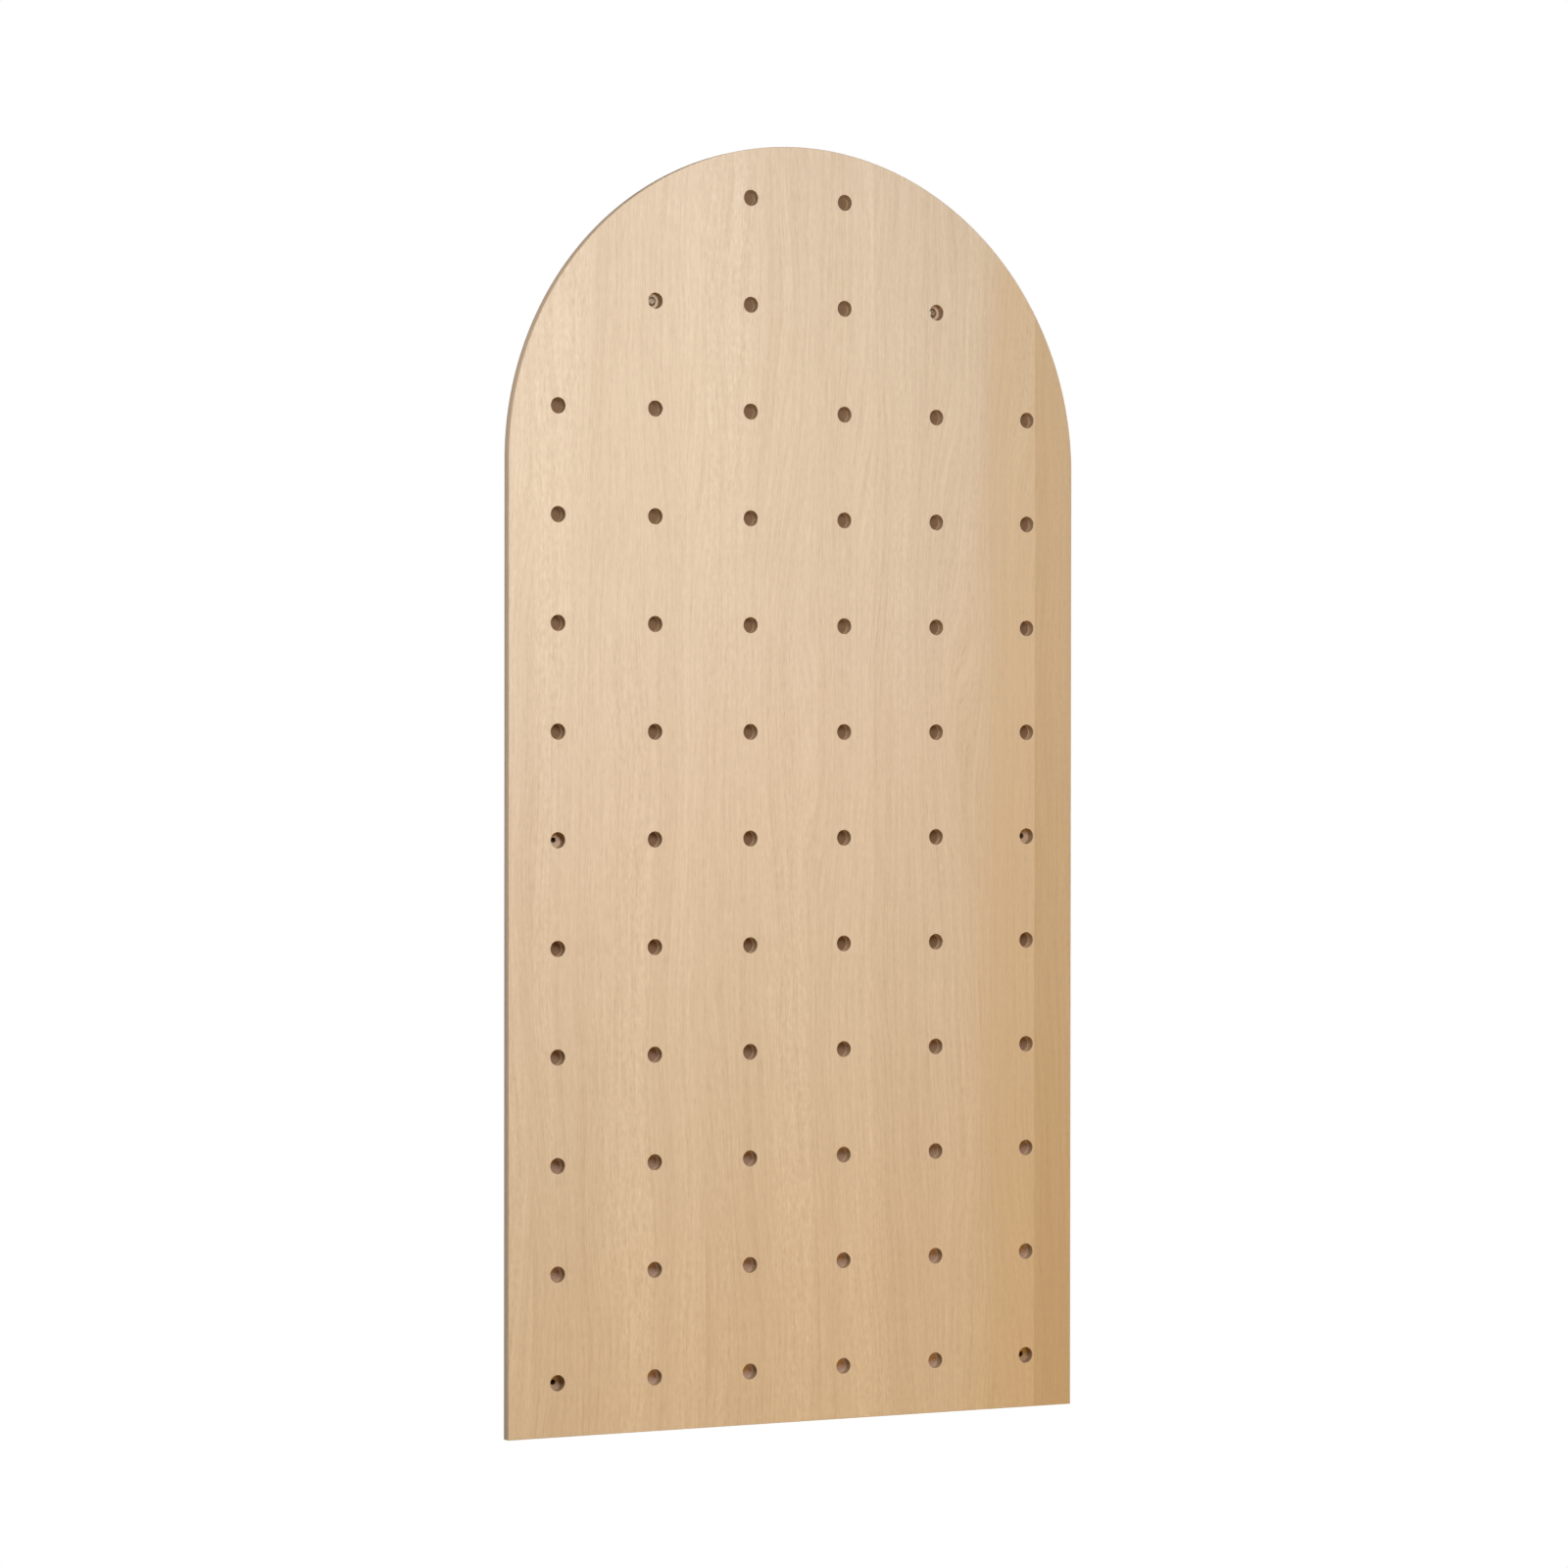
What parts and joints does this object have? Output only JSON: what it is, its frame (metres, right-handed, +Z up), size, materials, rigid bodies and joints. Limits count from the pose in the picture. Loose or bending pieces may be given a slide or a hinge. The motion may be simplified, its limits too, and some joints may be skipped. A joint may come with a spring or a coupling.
{
  "type": "wall pegboard",
  "caption": "Arched wooden wall pegboard with a square grid of round peg holes, standing off the wall on turned spacers.",
  "frame": {"origin": "on the wall plane, at the centre of the 500 mm square of the four lower wall fixings; 300 mm above the board's bottom edge", "axes": "+Z up, +Y into the wall, so the board faces -Y; +X to the right as seen from the front"},
  "size_m": [0.6, 0.058, 1.1999],
  "materials": {
    "oak_face_veneer": "matt lacquered light oak veneer, upright grain",
    "oak_back_veneer": "matt oak balancing veneer",
    "oak_edge_band": "matt lacquered oak veneer strip",
    "fibreboard_core": "raw brown fibreboard",
    "turned_wood": "sanded turned hardwood",
    "yellow_zinc": "yellow zinc plated steel"
  },
  "bodies": {
    "root": {"core_board": "fibreboard_core", "front_veneer_leaf_1": "oak_face_veneer", "front_veneer_leaf_2": "oak_face_veneer", "front_veneer_leaf_3": "oak_face_veneer", "front_veneer_leaf_4": "oak_face_veneer", "front_veneer_leaf_5": "oak_face_veneer", "back_veneer": "oak_back_veneer", "edge_band_arch": "oak_edge_band", "edge_band_base": "oak_edge_band", "spacer_upper_left": "turned_wood", "spacer_upper_right": "turned_wood", "spacer_middle_left": "turned_wood", "spacer_middle_right": "turned_wood", "spacer_lower_left": "turned_wood", "spacer_lower_right": "turned_wood", "wall_screw_left": "yellow_zinc", "wall_screw_right": "yellow_zinc"}
  },
  "joints": []
}
